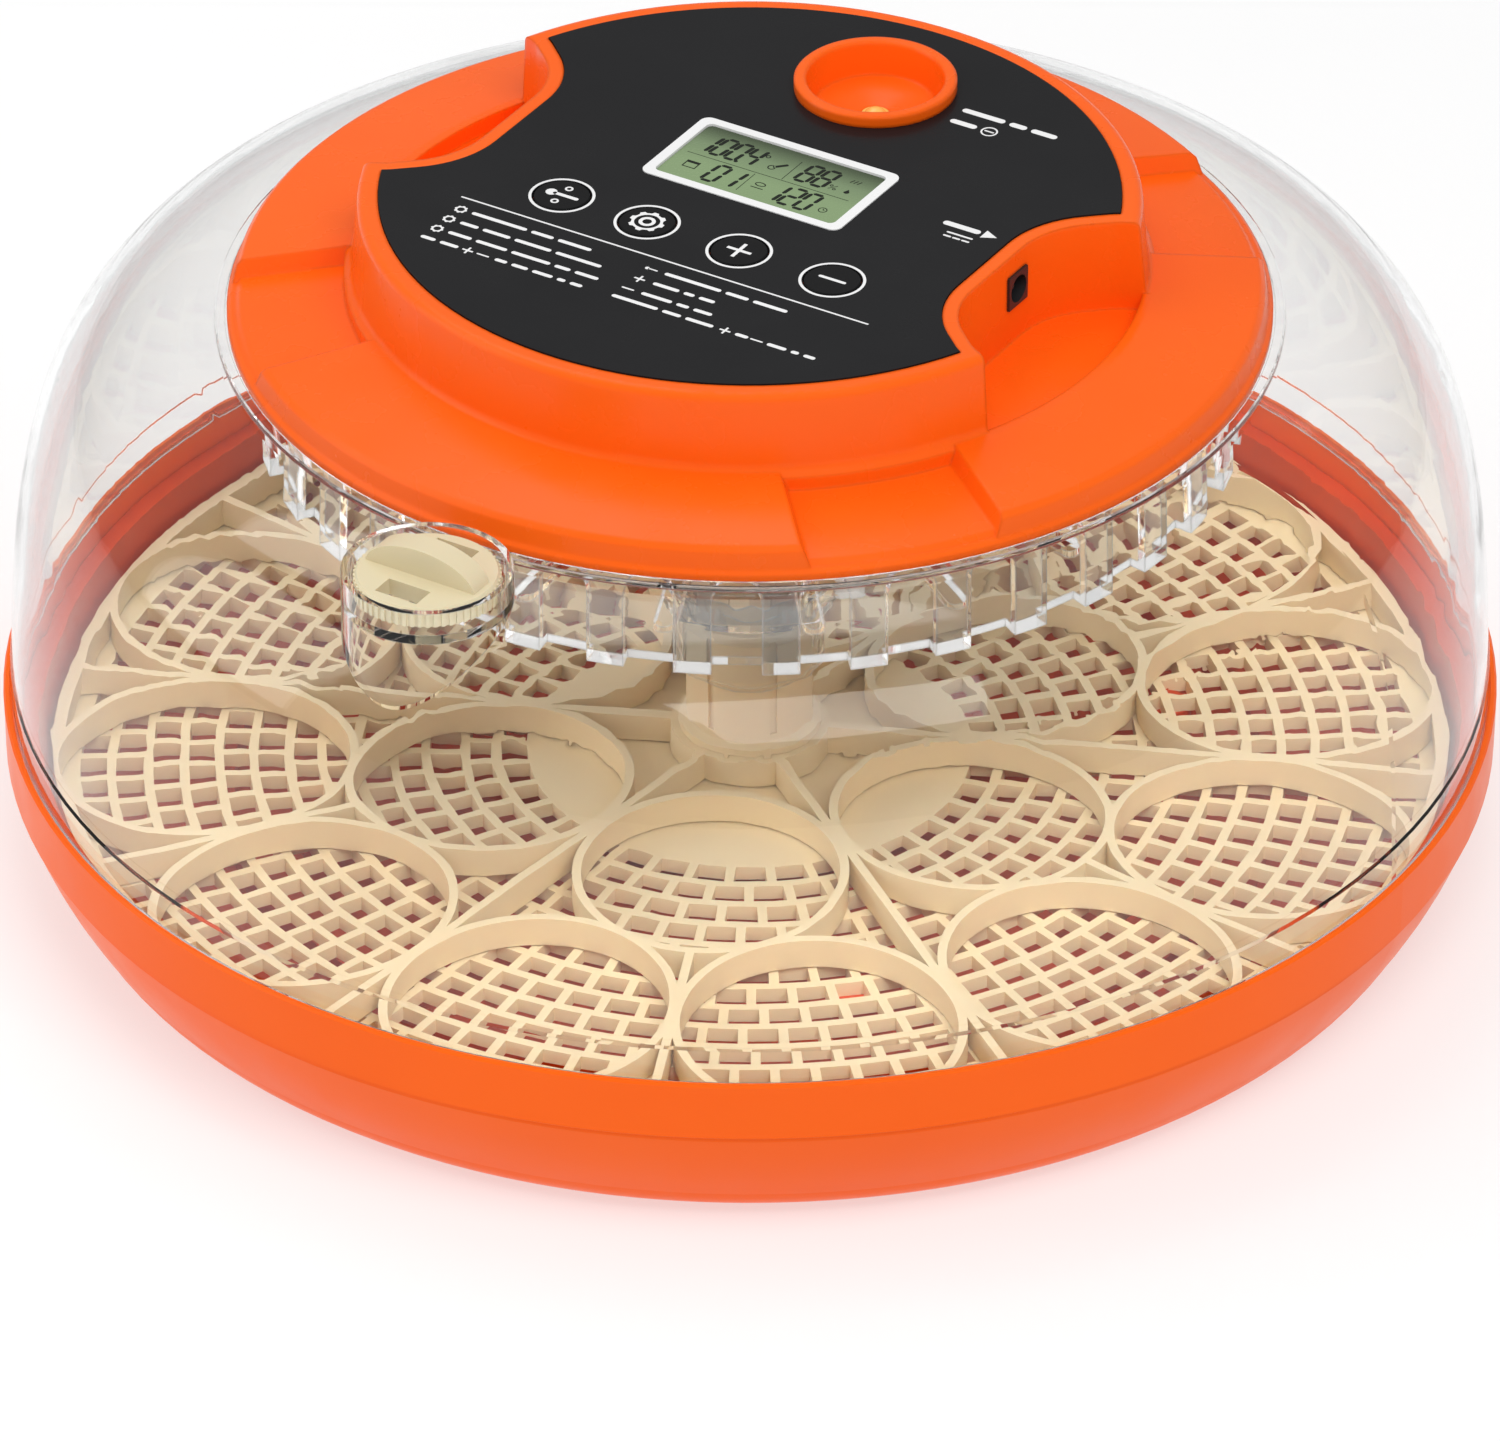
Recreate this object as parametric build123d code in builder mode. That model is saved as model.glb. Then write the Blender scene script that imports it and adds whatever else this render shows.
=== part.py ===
from build123d import *
import os
from math import asin, cos, degrees, pi, radians, sin

os.makedirs("parts", exist_ok=True)

# Countertop egg incubator: a shallow round base with a water pan, a lattice floor and a turning
# egg divider, and a lift-off clear dome that carries the control head, heater, fan and
# turning motor.  Millimetres, +Z up, origin under the middle of the base.  The panel reads
# upright from -Y, and the power socket faces +X.

# ---- driving dimensions -------------------------------------------------------------------
base_r = 150.0            # rim of the base
foot_h = 1.5              # rubber feet below the base shell
rim_z = 39.5              # top of the base rim
shell_wall = 2.0
groove_z = rim_z - 13.0   # line where the rim band meets the curved body

lip_w = 1.2               # rim lip that locates the dome
dome_seat_z = rim_z - 1.2
dome_r = 148.0            # dome wall just above its foot
dome_foot_r = 148.4
dome_step_z = rim_z + 7.6
shelf_top_z = rim_z + 84.3
shelf_in_r = 88.0
screw_r = 93.0
screw_angles = (-112, -68, 2, 74, 106, 176)

pan_flange_z = rim_z - 7.0
pan_floor_z = 8.0
pan_wall = 1.5
floor_z = 20.2            # top of the lattice floor
floor_t = 3.0
floor_r = 140.4

divider_z = 20.6
divider_h = 6.0
ring_r = 140.3
hub_r = 12.75
hub_top_z = rim_z + 14.0
pin_r = 4.0               # pivot pin, pressed into the pan's boss
pin_foot_z = 10.0
pin_top_z = 34.0
post_ring_r = 88.0        # four posts and base screws
foot_ring_r = 112.0       # four rubber feet

flange_r = 103.25         # control head flange
disc_r = 80.0             # foot of the raised control disc
disc_top_r = 77.0
panel_r = 73.0
head_top_z = rim_z + 110.0
cover_wall = 2.5
plate_z = rim_z + 84.4
plate_t = 2.0

guard_r = 98.0            # clear air guard under the head
guard_bottom_z = rim_z + 60.0
guard_windows = 36

boss_x, boss_y = 2.0, -120.8   # vent boss on the dome shoulder
boss_r = 16.6
boss_in_r = 15.2
port_reach = 8.6          # vent ports and knob windows, from the middle of the boss
knob_r = 14.2
knob_top_z = rim_z + 87.6

candler_y = 47.8
cup_r = 14.9              # candler cup below the panel
button_y = -20.85
button_xs = {"button_temp": -30.5, "button_set": -10.8, "button_plus": 10.3, "button_minus": 31.5}
button_r = 5.6
button_hole_r = 5.85
button_travel = 0.8
fan_x = -40.0
display = (0.0, 7.8)      # middle of the display window
glass_w, glass_h = 40.9, 20.9
bezel_w, bezel_h = 45.5, 25.1
notch_x = 53.1            # panel edge at the finger notch
notch_wall = 3.2          # from the panel edge to the outside of the notch wall
jack_face_x = notch_x + notch_wall + 0.5
jack_y = 7.7
jack_z = rim_z + 101.8
screw_hole_r = 1.8        # head screws pass
screw_pilot_r = 1.3       # screws bite


def at_angle(radius, angle):
    """Point at a radius and an angle in degrees about the vertical axis."""
    return (radius * cos(radians(angle)), radius * sin(radians(angle)))


# ---- base shell ---------------------------------------------------------------------------
# Straight rim band, a small groove, then a body that curves in to the flat bottom.
with BuildPart() as base_shell:
    with BuildSketch(Plane.XZ):
        with BuildLine():
            Polyline((0, foot_h), (133, foot_h))
            ThreePointArc((133, foot_h), (137.6, 3.9), (140.2, 7.6))
            ThreePointArc((140.2, 7.6), (145.4, 16.8), (149, groove_z - 0.6))
            Polyline(
                (149, groove_z - 0.6), (149, groove_z + 0.2), (base_r - 0.2, groove_z + 0.8),
                (base_r, rim_z - 0.4), (base_r - 0.4, rim_z), (base_r - lip_w, rim_z),
                (base_r - lip_w, dome_seat_z), (146.6, dome_seat_z), (146.6, pan_flange_z - 2.2),
                (144.6, pan_flange_z - 2.2), (144.6, 27.5), (146.9, 25.4),
            )
            ThreePointArc((146.9, 25.4), (143.5, 17.0), (138.5, 8.6))
            ThreePointArc((138.5, 8.6), (136.2, 5.4), (132.6, foot_h + shell_wall))
            Polyline((132.6, foot_h + shell_wall), (0, foot_h + shell_wall), (0, foot_h))
        make_face()
    revolve(axis=Axis.Z)
    with BuildSketch(Plane.XY.offset(foot_h + shell_wall)):
        with PolarLocations(post_ring_r, 4, start_angle=45):
            Circle(5)
    extrude(amount=pan_floor_z - pan_wall - 0.3 - foot_h - shell_wall)
    with PolarLocations(post_ring_r, 4, start_angle=45):
        with Locations((0, 0, foot_h)):
            CounterBoreHole(1.7, 3.4, 2.2, depth=8)
    with BuildSketch(Plane.XY.offset(foot_h)):
        with PolarLocations(foot_ring_r, 4):
            Circle(9.2)
    extrude(amount=1.0, mode=Mode.SUBTRACT)
base_shell.part.label = "base_shell"
export_step(base_shell.part, "parts/base_shell.step")

# ---- rubber feet --------------------------------------------------------------------------
with BuildPart() as rubber_feet:
    with BuildSketch():
        with PolarLocations(foot_ring_r, 4):
            Circle(9.0)
    extrude(amount=foot_h + 1.0)
    chamfer(rubber_feet.edges().filter_by(GeomType.CIRCLE).group_by(Axis.Z)[0], 0.5)
rubber_feet.part.label = "rubber_feet"
export_step(rubber_feet.part, "parts/rubber_feet.step")

# ---- water pan ----------------------------------------------------------------------------
# One-piece pan that hangs on the shell's shelf: ledge for the lattice floor, ring walls that
# make the water troughs, four posts over the screws, and a boss for the pivot pin.
post_top_z = floor_z - floor_t
with BuildPart() as water_pan:
    with BuildSketch(Plane.XZ):
        with BuildLine():
            Polyline(
                (0, pan_floor_z), (130.5, pan_floor_z), (137.4, post_top_z), (140.8, post_top_z),
                (142.6, pan_flange_z), (146.3, pan_flange_z), (146.3, pan_flange_z - 2.2),
                (144.3, pan_flange_z - 2.2), (142.4, 18.6), (140.9, post_top_z - 1.4),
                (136.6, post_top_z - 1.4), (131.2, pan_floor_z - pan_wall),
                (0, pan_floor_z - pan_wall), (0, pan_floor_z),
            )
        make_face()
    revolve(axis=Axis.Z)
    with BuildSketch(Plane.XY.offset(pan_floor_z)):
        for wall_r in (34.0, 70.0, 106.0):
            Circle(wall_r)
            Circle(wall_r - 1.6, mode=Mode.SUBTRACT)
    extrude(amount=6.0)
    with BuildSketch(Plane.XY.offset(pan_floor_z)):
        with PolarLocations(post_ring_r, 4, start_angle=45):
            Circle(4.5)
    extrude(amount=post_top_z - pan_floor_z)
    with BuildSketch(Plane.XY.offset(pan_floor_z)):
        Circle(9)
    extrude(amount=divider_z - 0.05 - pan_floor_z)
    with BuildSketch(Plane.XY.offset(pin_foot_z)):
        Circle(pin_r)
    extrude(amount=divider_z - pin_foot_z, mode=Mode.SUBTRACT)
    with BuildSketch(Plane.XY.offset(pan_floor_z - pan_wall)):
        with PolarLocations(post_ring_r, 4, start_angle=45):
            Circle(1.5)
    extrude(amount=8.0, mode=Mode.SUBTRACT)
water_pan.part.label = "water_pan"
export_step(water_pan.part, "parts/water_pan.step")

# Steel pin pressed into the pan's boss; the divider's hub turns on it.
with BuildPart() as pivot_pin:
    with BuildSketch(Plane.XY.offset(pin_foot_z)):
        Circle(pin_r)
    extrude(amount=pin_top_z - pin_foot_z)
    chamfer(pivot_pin.edges().filter_by(GeomType.CIRCLE).group_by(Axis.Z)[-1], 0.6)
pivot_pin.part.label = "pivot_pin"
export_step(pivot_pin.part, "parts/pivot_pin.step")

# ---- base screws --------------------------------------------------------------------------
with BuildPart() as base_screws:
    with PolarLocations(post_ring_r, 4, start_angle=45):
        with Locations((0, 0, foot_h + 0.2)):
            Cylinder(3.1, 1.8, align=(Align.CENTER, Align.CENTER, Align.MIN))
            Cylinder(1.4, 11.0, align=(Align.CENTER, Align.CENTER, Align.MIN))
            Box(3.6, 0.7, 0.9, align=(Align.CENTER, Align.CENTER, Align.MIN), mode=Mode.SUBTRACT)
            Box(0.7, 3.6, 0.9, align=(Align.CENTER, Align.CENTER, Align.MIN), mode=Mode.SUBTRACT)
base_screws.part.label = "base_screws"
export_step(base_screws.part, "parts/base_screws.step")

# ---- lattice floor ------------------------------------------------------------------------
# Moulded floor for the hatching chicks: solid middle, then bands of windows, half a pitch apart
# from band to band.  The face is built with all its windows as inner wires and extruded once.
band_first, band_last, band_count = 44.0, 135.6, 13
band_pitch = (band_last - band_first) / band_count
rib = 1.9
window_wires = []
for band in range(band_count):
    r_in = band_first + band * band_pitch + rib / 2
    r_out = r_in + band_pitch - rib
    per_band = round(2 * pi * (r_in + r_out) / 2 / 8.0)
    step = 360 / per_band
    half_in = step / 2 - degrees(asin(rib / 2 / r_in))
    half_out = step / 2 - degrees(asin(rib / 2 / r_out))
    for i in range(per_band):
        mid = (i + 0.5 * (band % 2)) * step
        corners = [
            at_angle(r_in, mid - half_in), at_angle(r_out, mid - half_out),
            at_angle(r_out, mid + half_out), at_angle(r_in, mid + half_in),
        ]
        window_wires.append(Wire.make_polygon([Vector(*c) for c in corners], close=True))
hub_hole = Wire.make_circle(9.6)
lattice_face = Face(Wire.make_circle(floor_r), window_wires + [hub_hole])
with BuildPart() as lattice_floor:
    with BuildSketch(Plane.XY.offset(post_top_z)):
        add(lattice_face)
    extrude(amount=floor_t)
lattice_floor.part.label = "lattice_floor"
export_step(lattice_floor.part, "parts/lattice_floor.step")

# ---- egg divider --------------------------------------------------------------------------
# Twelve outer and six inner oval cells joined to an outer ring, a collar and radial spokes.
outer_cell_r, inner_cell_r = 110.0, 56.0
wall_t = 1.8
spoke_angle = 23.5
collar_r = 16.0
with BuildPart() as egg_divider:
    with BuildSketch(Plane.XY.offset(divider_z)):
        Circle(ring_r)
        Circle(ring_r - 2.6, mode=Mode.SUBTRACT)
        with PolarLocations(outer_cell_r, 12, start_angle=spoke_angle + 15):
            Ellipse(31.0, 28.8)
        with PolarLocations(inner_cell_r, 6, start_angle=spoke_angle + 30):
            Ellipse(29.0, 27.4)
        with PolarLocations((collar_r + ring_r) / 2 - 1, 6, start_angle=spoke_angle):
            Rectangle(ring_r - collar_r + 2, wall_t)
        with PolarLocations((84 + ring_r) / 2, 6, start_angle=spoke_angle + 30):
            Rectangle(ring_r - 84, wall_t)
        with PolarLocations(111, 12, start_angle=spoke_angle):
            Rectangle(2.4, 8)
        with PolarLocations(outer_cell_r, 12, start_angle=spoke_angle + 15):
            Ellipse(31.0 - wall_t, 28.8 - wall_t, mode=Mode.SUBTRACT)
        with PolarLocations(inner_cell_r, 6, start_angle=spoke_angle + 30):
            Ellipse(29.0 - wall_t, 27.4 - wall_t, mode=Mode.SUBTRACT)
        with BuildSketch(Plane.XY.offset(divider_z), mode=Mode.PRIVATE) as outside:
            Circle(ring_r + 20)
            Circle(ring_r, mode=Mode.SUBTRACT)
        add(outside.sketch, mode=Mode.SUBTRACT)
        Circle(collar_r)
        Circle(hub_r + 0.1, mode=Mode.SUBTRACT)
    extrude(amount=divider_h)
egg_divider.part.label = "egg_divider"
export_step(egg_divider.part, "parts/egg_divider.step")

# ---- divider hub --------------------------------------------------------------------------
# Turns on the pivot pin, carries the divider on a small flange and takes the hexagonal drive shaft.
socket_af = 8.6
socket_floor_z = 36.0
hub_bore_r = pin_r + 0.06
with BuildPart() as divider_hub:
    with BuildSketch(Plane.XZ):
        with BuildLine():
            Polyline(
                (hub_bore_r, divider_z), (hub_r, divider_z), (hub_r, divider_z + divider_h + 0.1),
                (hub_r + 1.6, divider_z + divider_h + 0.1), (hub_r + 1.6, divider_z + divider_h + 1.6),
                (hub_r, divider_z + divider_h + 2.6), (hub_r, hub_top_z - 1.5),
                (hub_r - 1.5, hub_top_z), (hub_bore_r, hub_top_z), (hub_bore_r, divider_z),
            )
        make_face()
    revolve(axis=Axis.Z)
    with BuildSketch(Plane.XY.offset(socket_floor_z)):
        RegularPolygon(socket_af / 2, 6, major_radius=False)
    extrude(amount=hub_top_z, mode=Mode.SUBTRACT)
    with BuildSketch(Plane.XY.offset(divider_z + divider_h + 4)):
        with PolarLocations(hub_r, 6, start_angle=spoke_angle):
            Rectangle(1.2, 1.4)
    extrude(amount=hub_top_z, mode=Mode.SUBTRACT)
divider_hub.part.label = "divider_hub"
export_step(divider_hub.part, "parts/divider_hub.step")

# ---- clear dome ---------------------------------------------------------------------------
# Thin revolved wall from the foot in the base rim up over the shoulder to the shelf and the lip
# that surround the control head, with the vertical vent boss moulded into the shoulder.
foot_z = dome_seat_z + 0.02
foot_in_r = dome_foot_r - 2.2
with BuildPart() as dome:
    # outside form, solid to the axis
    with BuildSketch(Plane.XZ):
        with BuildLine():
            Polyline(
                (0, foot_z), (dome_foot_r, foot_z), (dome_foot_r, dome_step_z - 0.6),
                (dome_r, dome_step_z),
            )
            Spline(
                (dome_r, dome_step_z), (147.1, rim_z + 28), (144.3, rim_z + 48),
                (138.9, rim_z + 64), (129.4, rim_z + 75.4), (118, rim_z + 81.2),
                (105.7, rim_z + 83.6),
                tangents=((0, 1), (-1, 0.12)),
            )
            Polyline(
                (105.7, rim_z + 83.6), (105.7, rim_z + 84.6), (105.4, rim_z + 84.9),
                (103.7, rim_z + 84.9), (103.7, shelf_top_z), (0, shelf_top_z), (0, foot_z),
            )
        make_face()
    revolve(axis=Axis.Z)
    # boss, as a solid post until the inside is cut
    with BuildSketch(Plane.XY.offset(rim_z + 60)):
        with Locations((boss_x, boss_y)):
            Circle(boss_r)
    extrude(amount=28.2)
    # inside form
    with BuildSketch(Plane.XZ):
        with BuildLine():
            Polyline((0, foot_z - 1), (foot_in_r, foot_z - 1), (foot_in_r, dome_step_z - 1))
            Spline(
                (foot_in_r, dome_step_z - 1), (145.1, rim_z + 28), (142.4, rim_z + 47.4),
                (137.1, rim_z + 63), (128.1, rim_z + 73.8), (117.3, rim_z + 79.3),
                (106, rim_z + 81.6),
                tangents=((0, 1), (-1, 0.12)),
            )
            Polyline((106, rim_z + 81.6), (102, shelf_top_z - 2), (0, shelf_top_z - 2),
                     (0, foot_z - 1))
        make_face()
    revolve(axis=Axis.Z, mode=Mode.SUBTRACT)
    # opening under the control head
    with BuildSketch(Plane.XY.offset(shelf_top_z - 5)):
        Circle(shelf_in_r)
    extrude(amount=8, mode=Mode.SUBTRACT)
    # open boss with a floor that has two vent ports and the knob's pivot hole
    with BuildSketch(Plane.XY.offset(rim_z + 82.8)):
        with Locations((boss_x, boss_y)):
            Circle(boss_in_r)
    extrude(amount=10, mode=Mode.SUBTRACT)
    with BuildSketch(Plane.XY.offset(rim_z + 50)):
        with Locations((boss_x, boss_y)):
            Circle(boss_in_r)
    extrude(amount=30.8, mode=Mode.SUBTRACT)
    with BuildSketch(Plane.XY.offset(rim_z + 70)):
        with Locations((boss_x + port_reach, boss_y), (boss_x - port_reach, boss_y)):
            Rectangle(5.2, 9.6)
        with Locations((boss_x, boss_y)):
            Circle(2.55)
    extrude(amount=20, mode=Mode.SUBTRACT)
    # head screws pass through the shelf
    with BuildSketch(Plane.XY.offset(shelf_top_z - 3)):
        for angle in screw_angles:
            with Locations(at_angle(screw_r, angle)):
                Circle(screw_hole_r)
    extrude(amount=4, mode=Mode.SUBTRACT)
dome.part.label = "dome"
export_step(dome.part, "parts/dome.step")

# ---- vent knob ----------------------------------------------------------------------------
# Knurled disc with two windows and an arched grip; a stem turns in the boss floor.  Quarter turn
# from closed (windows across the ports) to open (windows over the ports).
knob_bottom_z = knob_top_z - 3.6
with BuildPart() as vent_knob:
    with BuildSketch(Plane.XY.offset(knob_bottom_z)):
        with Locations((boss_x, boss_y)):
            Circle(knob_r)
            with PolarLocations(knob_r + 0.1, 60):
                Rectangle(0.8, 0.7, mode=Mode.SUBTRACT)
    extrude(amount=3.0)
    with BuildSketch(Plane.XY.offset(knob_bottom_z + 3.0)):
        with Locations((boss_x, boss_y)):
            Circle(knob_r - 0.3)
    extrude(amount=0.6, taper=35)
    with BuildSketch(Plane.XZ.offset(-boss_y - 2.7)):
        with Locations((boss_x, knob_top_z - 0.5)):
            Ellipse(12.3, 6.3)
            with Locations((0, -5)):
                Rectangle(30, 10, mode=Mode.SUBTRACT)
    extrude(amount=5.4)
    with BuildSketch(Plane.XY.offset(knob_bottom_z - 1)):
        with Locations((boss_x, boss_y + port_reach), (boss_x, boss_y - port_reach)):
            Rectangle(9.4, 5.0)
    extrude(amount=8, mode=Mode.SUBTRACT)
    with BuildSketch(Plane.XY.offset(rim_z + 79.6)):
        with Locations((boss_x, boss_y)):
            Circle(2.5)
    extrude(amount=knob_bottom_z - rim_z - 79.6 + 0.5)
    with BuildSketch(Plane.XY.offset(rim_z + 79.0)):
        with Locations((boss_x, boss_y)):
            Circle(1.05)
    extrude(amount=5.5, mode=Mode.SUBTRACT)
vent_knob.part.label = "vent_knob"
export_step(vent_knob.part, "parts/vent_knob.step")

with BuildPart() as vent_screw:
    with Locations((boss_x, boss_y, rim_z + 79.5)):
        Cylinder(3.6, 1.0, align=(Align.CENTER, Align.CENTER, Align.MAX))
        Cylinder(1.0, 4.6, align=(Align.CENTER, Align.CENTER, Align.MIN))
    with Locations((boss_x, boss_y, rim_z + 78.5)):
        Box(3.8, 0.7, 0.6, align=(Align.CENTER, Align.CENTER, Align.MIN), mode=Mode.SUBTRACT)
        Box(0.7, 3.8, 0.6, align=(Align.CENTER, Align.CENTER, Align.MIN), mode=Mode.SUBTRACT)
vent_screw.part.label = "vent_screw"
export_step(vent_screw.part, "parts/vent_screw.step")


# ---- control head cover -------------------------------------------------------------------
def mirrored(point):
    """The same point on the other side of the X axis."""
    return (point[0], -point[1])


def notch_outline(shift):
    """Finger notch in the +X side of the control disc; shift moves its wall outward."""
    far = (96 + 0.478 * shift, 47 - 0.878 * shift)
    flare = (65.3 + 0.576 * shift, 30.3 - 0.825 * shift)
    corner = (notch_x + shift, 19.6 - 0.453 * shift)
    with BuildSketch(mode=Mode.PRIVATE) as notch:
        with BuildLine():
            FilletPolyline(
                far, flare, corner, mirrored(corner), mirrored(flare), mirrored(far),
                radius=(14 - shift, 22 - shift, 22 - shift, 14 - shift), close=False,
            )
            Line(mirrored(far), far)
        make_face()
    return notch.sketch


def both_notches(shift):
    """The notch on the +X side and its mirror on the -X side."""
    right = notch_outline(shift)
    return right + right.mirror(Plane.YZ)


high_sectors = ((-128, -53), (-30, 35.5), (60, 120), (144, 208))
flange_high = ((disc_r - 6, 94.4), (disc_r, 93.9), (101, 91.0))
flange_low = ((disc_r - 6, 90.8), (disc_r, 90.3), (101, 87.6))
notch_floor_z = rim_z + 90.2


def flange_ring(heights):
    """Revolved flange whose sloping top passes through the given (radius, height) points."""
    with BuildPart(mode=Mode.PRIVATE) as ring:
        with BuildSketch(Plane.XZ):
            with BuildLine():
                tops = [(r, rim_z + h) for r, h in heights]
                Polyline(
                    (60, shelf_top_z), (flange_r, shelf_top_z), (flange_r, rim_z + 85.8),
                    (flange_r - 0.9, rim_z + 86.6), (101.6, tops[2][1] - 1.0), (100.6, tops[2][1]),
                    tops[1], tops[0], (60, tops[0][1]), (60, shelf_top_z),
                )
            make_face()
        revolve(axis=Axis.Z)
    return ring.part


def sector_wedge(start, end):
    """Wedge with bevelled radial sides that keeps one raised sector of the flange."""
    spread = (end - start) / 2
    middle = (start + end) / 2
    reach = 130.0
    with BuildPart(mode=Mode.PRIVATE) as wedge:
        with BuildSketch(Plane.XY.offset(rim_z + 84)):
            with BuildLine():
                Polyline(
                    (0, 0), at_angle(reach, middle - spread - 1.6),
                    at_angle(reach / cos(radians(spread / 2)), middle - spread / 2),
                    at_angle(reach, middle),
                    at_angle(reach / cos(radians(spread / 2)), middle + spread / 2),
                    at_angle(reach, middle + spread + 1.6), (0, 0),
                )
            make_face()
        extrude(amount=14, taper=22)
    return wedge.part


raised = flange_ring(flange_high)
flange = flange_ring(flange_low)
for start, end in high_sectors:
    flange = flange + (raised & sector_wedge(start, end))

with BuildPart() as head_cover:
    add(flange)
    # raised control disc with a rounded top edge and a filleted foot
    with BuildSketch(Plane.XZ):
        with BuildLine():
            Polyline((0, shelf_top_z), (disc_r, shelf_top_z), (disc_r, rim_z + 93.2))
            ThreePointArc((disc_r, rim_z + 93.2), (78.9, rim_z + 94.1), (78.4, rim_z + 95.4))
            Line((78.4, rim_z + 95.4), (disc_top_r + 0.25, head_top_z - 1.6))
            ThreePointArc((disc_top_r + 0.25, head_top_z - 1.6),
                          (disc_top_r - 0.3, head_top_z - 0.45), (disc_top_r - 1.5, head_top_z))
            Polyline((disc_top_r - 1.5, head_top_z), (0, head_top_z), (0, shelf_top_z))
        make_face()
    revolve(axis=Axis.Z)
    # finger notches, down to a floor that is a little below the raised flange
    with BuildSketch(Plane.XY.offset(notch_floor_z)):
        add(both_notches(notch_wall))
        with BuildSketch(Plane.XY.offset(notch_floor_z), mode=Mode.PRIVATE) as beyond:
            Circle(140)
            Circle(disc_r - 2, mode=Mode.SUBTRACT)
        add(beyond.sketch, mode=Mode.SUBTRACT)
    extrude(amount=40, mode=Mode.SUBTRACT)
    with BuildSketch(Plane.XY.offset(rim_z + 93.9)):
        add(both_notches(notch_wall))
        with BuildSketch(Plane.XY.offset(rim_z + 93.9), mode=Mode.PRIVATE) as far_away:
            Circle(140)
            Circle(disc_r + 0.4, mode=Mode.SUBTRACT)
        add(far_away.sketch, mode=Mode.SUBTRACT)
    extrude(amount=40, mode=Mode.SUBTRACT)
    # hollow inside: one pocket under the flange and one under the disc, clear of the notches
    with BuildSketch(Plane.XY.offset(shelf_top_z)):
        Circle(100.2)
    extrude(amount=2.6, mode=Mode.SUBTRACT)
    with BuildSketch(Plane.XY.offset(shelf_top_z + 2.0)):
        Circle(74.6)
        add(both_notches(0.7), mode=Mode.SUBTRACT)
    extrude(amount=head_top_z - cover_wall - 1.0 - shelf_top_z - 2.0, mode=Mode.SUBTRACT)
    # recess for the panel overlay
    with BuildSketch(Plane.XY.offset(head_top_z - 0.9)):
        Circle(panel_r + 0.15)
        add(both_notches(0.15), mode=Mode.SUBTRACT)
    extrude(amount=3, mode=Mode.SUBTRACT)
    # display window, candler seat and button holes
    with BuildSketch(Plane.XY.offset(rim_z + 100)):
        with Locations(display):
            Rectangle(glass_w + 0.7, glass_h + 0.7)
        with Locations((0, candler_y)):
            Circle(cup_r + 0.2)
        with Locations(*[(x, button_y) for x in button_xs.values()]):
            Circle(button_hole_r)
    extrude(amount=20, mode=Mode.SUBTRACT)
    # socket hole through the notch wall
    with Locations((jack_face_x - 2, jack_y, jack_z)):
        Box(12, 7.2, 7.4, mode=Mode.SUBTRACT)
    # screw bosses that meet the base plate
    with BuildSketch(Plane.XY.offset(plate_z + plate_t)):
        for angle in screw_angles:
            with Locations(at_angle(screw_r, angle)):
                Circle(3.4)
    extrude(amount=1.2)
    with BuildSketch(Plane.XY.offset(plate_z + plate_t)):
        for angle in screw_angles:
            with Locations(at_angle(screw_r, angle)):
                Circle(screw_pilot_r)
    extrude(amount=3.4, mode=Mode.SUBTRACT)
head_cover.part.label = "head_cover"
export_step(head_cover.part, "parts/head_cover.step")

# ---- head base plate ----------------------------------------------------------------------
board_y = 49.0
ear_y = 28.5
with BuildPart() as head_plate:
    with BuildSketch(Plane.XY.offset(plate_z)):
        Circle(99.8)
        Circle(7.0, mode=Mode.SUBTRACT)
        with Locations((fan_x, 0)):
            Circle(9.2, mode=Mode.SUBTRACT)
        with Locations((0, ear_y), (0, -ear_y)):
            Circle(screw_pilot_r, mode=Mode.SUBTRACT)
        for angle in screw_angles:
            with Locations(at_angle(screw_r, angle)):
                Circle(screw_hole_r, mode=Mode.SUBTRACT)
    extrude(amount=plate_t)
    # four posts that hold the main board
    with BuildSketch(Plane.XY.offset(plate_z + plate_t)):
        with Locations((0, board_y)):
            with GridLocations(56, 20, 2, 2):
                Circle(2.5)
    extrude(amount=4.0)
head_plate.part.label = "head_plate"
export_step(head_plate.part, "parts/head_plate.step")

# ---- control panel overlay ----------------------------------------------------------------
panel_z = head_top_z - 0.9
panel_t = 1.2
with BuildPart() as control_panel:
    with BuildSketch(Plane.XY.offset(panel_z)):
        Circle(panel_r)
        add(both_notches(0.0), mode=Mode.SUBTRACT)
        with Locations(display):
            RectangleRounded(bezel_w + 0.2, bezel_h + 0.2, 2.1, mode=Mode.SUBTRACT)
        with Locations((0, candler_y)):
            Circle(cup_r + 0.2, mode=Mode.SUBTRACT)
        with Locations(*[(x, button_y) for x in button_xs.values()]):
            Circle(button_hole_r, mode=Mode.SUBTRACT)
    extrude(amount=panel_t)
control_panel.part.label = "control_panel"
export_step(control_panel.part, "parts/control_panel.step")

# ---- display ------------------------------------------------------------------------------
with BuildPart() as display_bezel:
    with BuildSketch(Plane.XY.offset(panel_z)):
        with Locations(display):
            RectangleRounded(bezel_w, bezel_h, 2.0)
            RectangleRounded(glass_w + 0.3, glass_h + 0.3, 1.3, mode=Mode.SUBTRACT)
    extrude(amount=panel_t + 0.15)
display_bezel.part.label = "display_bezel"
export_step(display_bezel.part, "parts/display_bezel.step")

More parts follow.
